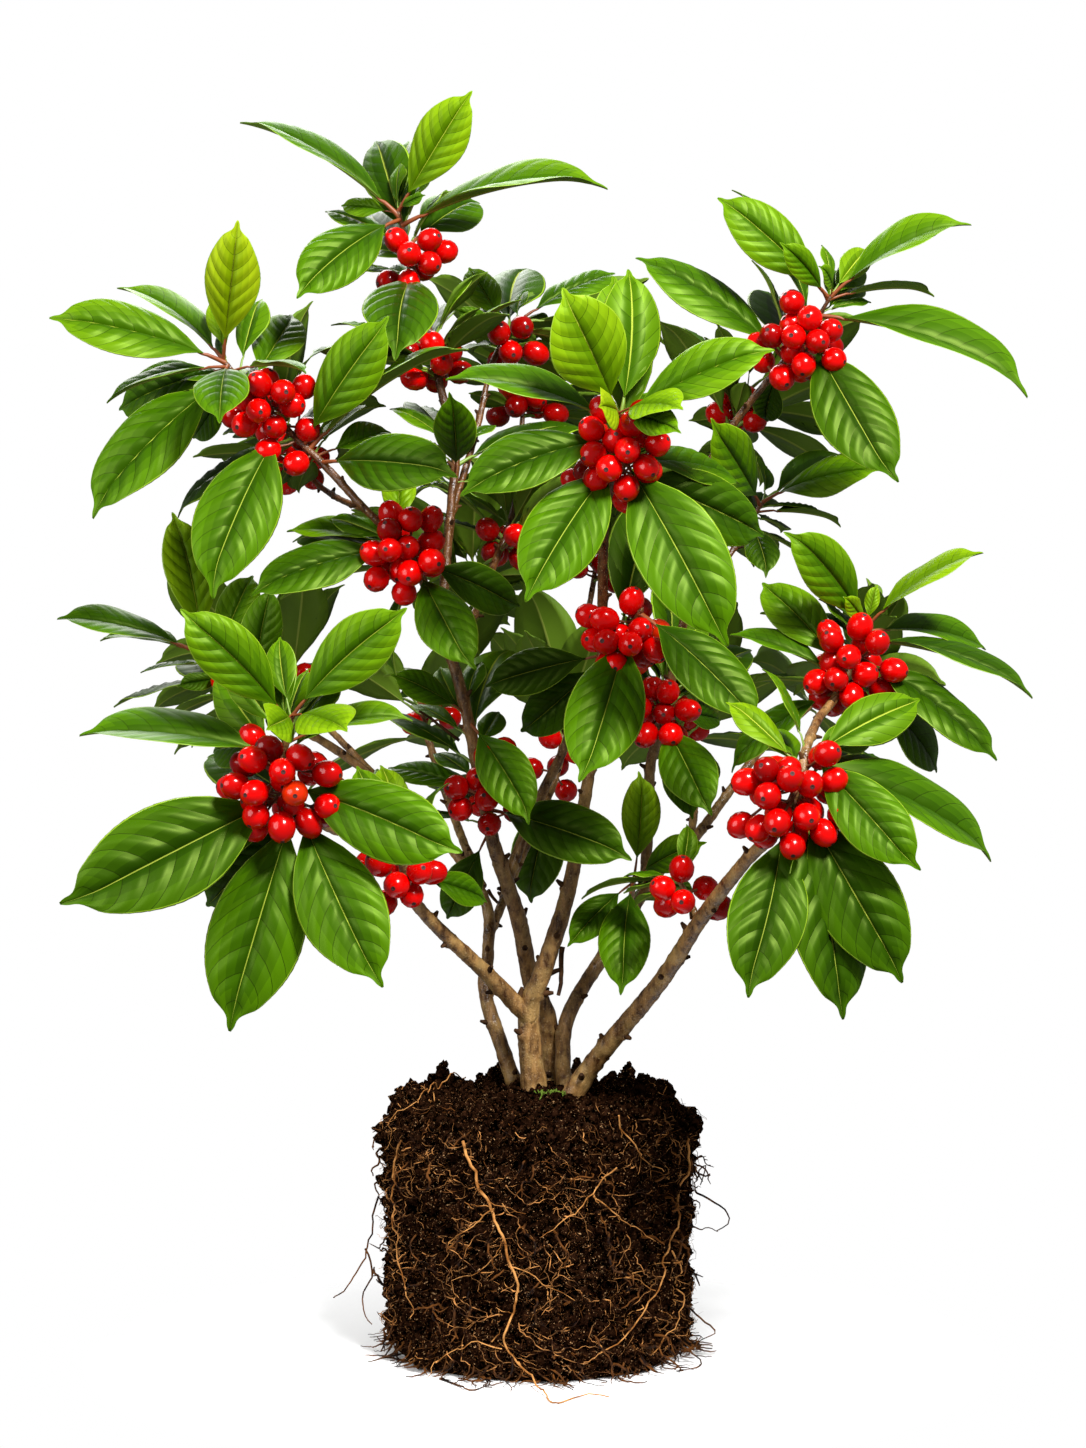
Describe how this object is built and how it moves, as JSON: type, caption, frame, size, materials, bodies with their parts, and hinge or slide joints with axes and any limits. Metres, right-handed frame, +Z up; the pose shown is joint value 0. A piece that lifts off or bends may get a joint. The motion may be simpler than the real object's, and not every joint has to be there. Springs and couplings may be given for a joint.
{
  "type": "spicebush on its bare root ball",
  "caption": "Many-stemmed berry shrub standing on its bare root ball, with forking stems, boughs and masses of glossy leaves that hold clusters of red berries.",
  "frame": {"origin": "centre of the flat underside of the root ball, where it stands", "axes": "+Z up along the stems, +X to the viewer's right, +Y away from the viewer"},
  "size_m": [0.4609, 0.343, 0.5977],
  "materials": {
    "potting_mix": "matte",
    "bark": "satin",
    "foliage": "gloss",
    "berries": "gloss",
    "fine_roots": "matte"
  },
  "bodies": {
    "root": {"root_ball": "potting_mix", "front_stem": "bark", "left_fork_1": "bark", "left_fork_2": "bark", "left_back_stem": "bark", "centre_stem_1": "bark", "centre_stem_2": "bark", "centre_stem_3": "bark", "centre_stem_4": "bark", "left_bough_1": "bark", "left_bough_2": "bark", "top_middle_bough": "bark", "middle_bough": "bark", "right_back_stem": "bark", "right_stem_1": "bark", "right_stem_2": "bark", "upper_right_bough_1": "bark", "upper_right_bough_2": "bark", "right_side_bough": "bark", "back_left_bough_1": "bark", "back_left_bough_2": "bark", "back_centre_bough_1": "bark", "back_centre_bough_2": "bark", "back_right_bough": "bark", "back_top_bough_1": "bark", "back_top_bough_2": "bark", "back_upper_right_bough": "bark", "back_left_side_bough": "bark", "back_upper_left_bough": "bark", "centre_front_foliage": "foliage", "low_left_foliage": "foliage", "lower_left_front_foliage": "foliage", "left_foliage": "foliage", "low_centre_foliage": "foliage", "upper_middle_low_foliage": "foliage", "upper_middle_foliage": "foliage", "top_foliage": "foliage", "left_middle_foliage": "foliage", "upper_left_foliage": "foliage", "top_middle_foliage": "foliage", "middle_foliage": "foliage", "right_back_foliage": "foliage", "low_right_foliage": "foliage", "lower_right_front_foliage": "foliage", "right_foliage": "foliage", "low_right_berries": "foliage", "right_middle_foliage": "foliage", "upper_right_foliage": "foliage", "upper_right_low_foliage": "foliage", "back_lower_left_foliage": "foliage", "back_middle_left_foliage": "foliage", "back_low_centre_foliage": "foliage", "back_centre_foliage": "foliage", "back_lower_right_foliage": "foliage", "back_upper_middle_foliage": "foliage", "back_top_foliage": "foliage", "back_upper_right_foliage": "foliage", "back_left_foliage": "foliage", "back_upper_left_foliage": "foliage"}
  },
  "joints": []
}
